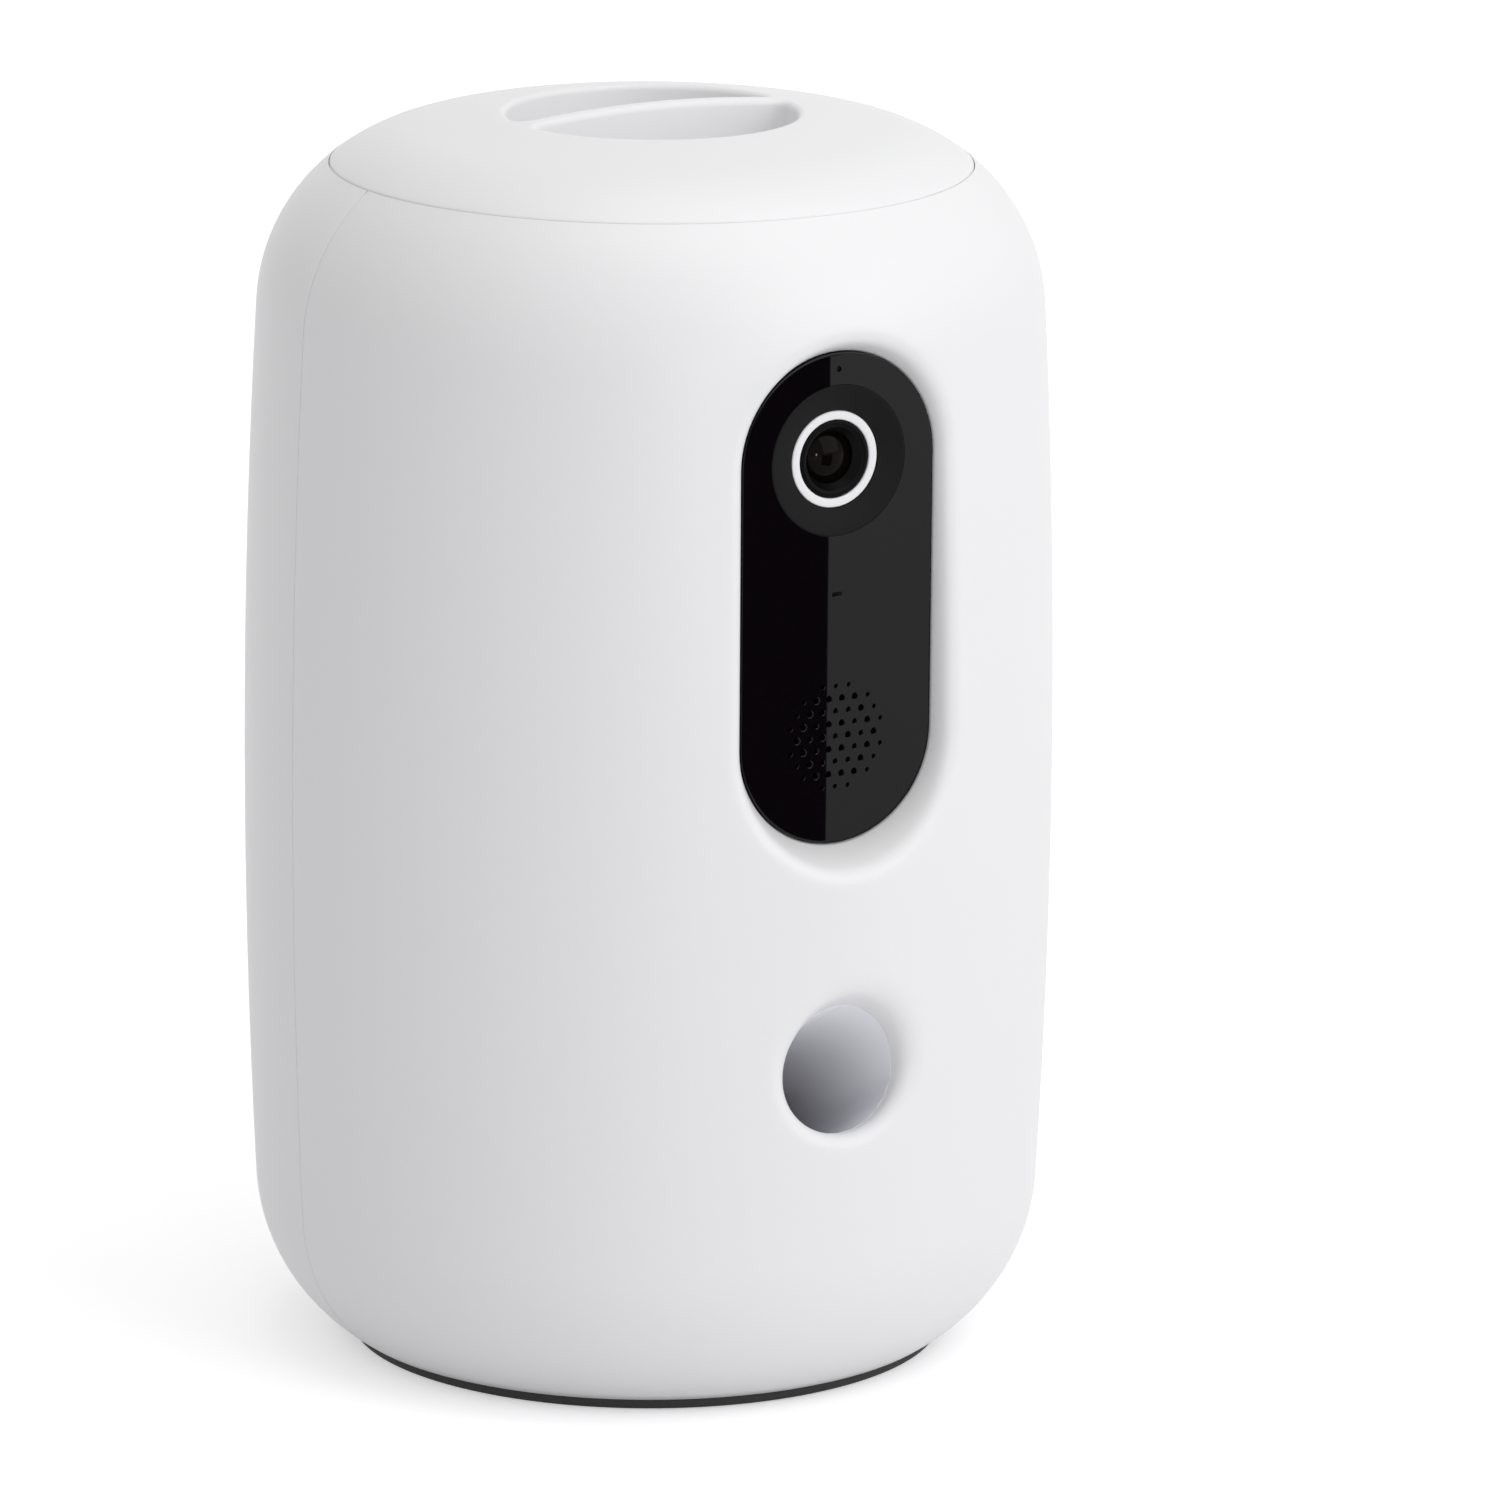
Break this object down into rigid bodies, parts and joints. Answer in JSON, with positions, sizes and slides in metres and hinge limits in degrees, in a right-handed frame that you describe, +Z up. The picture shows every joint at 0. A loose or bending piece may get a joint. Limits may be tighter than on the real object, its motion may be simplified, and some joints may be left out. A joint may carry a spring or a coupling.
{
  "type": "treat tossing pet camera",
  "caption": "Free-standing barrel-shaped pet camera with a lift-off lid over a treat hopper, a feed wheel, a paddle wheel that throws treats from a round mouth, and a camera panel.",
  "frame": {"origin": "on the table under the casing's axis, at the middle of the foot ring", "axes": "+Z up along the casing's axis; the lens and the mouth face -Y; +X is to the right of someone who looks at the lens"},
  "size_m": [0.1446, 0.1446, 0.2255],
  "materials": {
    "white_shell": "satin",
    "black_panel": "gloss",
    "black_plastic": "satin",
    "light_diffuser": "satin",
    "lens": "gloss",
    "rubber": "matte",
    "silicone": "matte",
    "grey_plastic": "satin",
    "hopper_plastic": "satin",
    "gear_plastic": "satin",
    "steel": "brushed",
    "bronze": "satin",
    "speaker_paper": "matte",
    "circuit_board": "satin",
    "lead_jacket": "satin"
  },
  "bodies": {
    "housing": {"front_shell": "white_shell", "rear_shell": "white_shell", "base_plate": "grey_plastic", "foot_ring": "rubber", "base_screws": "steel", "leg_screws": "steel", "treat_hopper": "hopper_plastic", "flange_screws": "steel", "drop_guard": "hopper_plastic", "feed_bush": "bronze", "idler_pin": "steel", "gear_bracket": "grey_plastic", "bracket_screws": "steel", "feed_motor": "steel", "feed_motor_screws": "steel", "tosser_housing_left": "grey_plastic", "tosser_housing_right": "grey_plastic", "tosser_screws": "steel", "toss_bush": "bronze", "toss_motor": "steel", "toss_motor_screws": "steel", "front_panel": "black_panel", "camera_bezel": "black_plastic", "light_ring": "light_diffuser", "lens_barrel": "black_plastic", "lens_glass": "lens", "camera_board": "circuit_board", "camera_board_screws": "steel", "indicator_lens": "light_diffuser", "microphone": "steel", "speaker_frame": "black_plastic", "speaker_cone": "speaker_paper", "speaker_magnet": "steel", "main_board": "circuit_board", "board_screws": "steel", "board_components": "grey_plastic", "power_inlet": "steel", "reset_switch": "black_plastic", "camera_ribbon": "lead_jacket", "speaker_lead": "lead_jacket", "toss_motor_lead": "lead_jacket", "feed_motor_lead": "lead_jacket"},
    "lid": {"lid_cover": "white_shell", "lid_liner": "hopper_plastic", "lid_seal": "silicone", "lid_screws": "steel"},
    "feed_rotor": {"feed_wheel": "hopper_plastic", "feed_shaft": "steel", "feed_gear": "gear_plastic", "stirrer": "hopper_plastic"},
    "idler": {"idler_gear": "gear_plastic"},
    "pinion": {"feed_pinion": "gear_plastic"},
    "toss_rotor": {"toss_hub": "grey_plastic", "toss_paddles": "rubber", "toss_shaft": "steel"},
    "reset": {"reset_button": "black_plastic"}
  },
  "joints": [
    {"name": "lid_lift", "type": "slide", "parent": "housing", "child": "lid", "axis": [0, 0, 1], "range_m": [0, 0.06]},
    {"name": "feed_spin", "type": "hinge", "parent": "housing", "child": "feed_rotor", "pos_m": [0, 0.008, 0.086], "axis": [0, 0, 1], "continuous": true},
    {"name": "idler_spin", "type": "hinge", "parent": "housing", "child": "idler", "pos_m": [-0.01776, 0.01446, 0.086], "axis": [0, 0, 1], "continuous": true},
    {"name": "pinion_spin", "type": "hinge", "parent": "housing", "child": "pinion", "pos_m": [-0.03129, 0.01939, 0.086], "axis": [0, 0, 1], "continuous": true},
    {"name": "toss_spin", "type": "hinge", "parent": "housing", "child": "toss_rotor", "pos_m": [0, -0.006, 0.045], "axis": [1, 0, 0], "continuous": true},
    {"name": "reset_press", "type": "slide", "parent": "housing", "child": "reset", "axis": [0, -1, 0], "range_m": [0, 0.0006], "stiffness_N_per_m": 400}
  ],
  "couplings": [
    {"joint": "idler_spin", "follows": "feed_spin", "ratio": -1.1},
    {"joint": "pinion_spin", "follows": "feed_spin", "ratio": 1.8333}
  ]
}
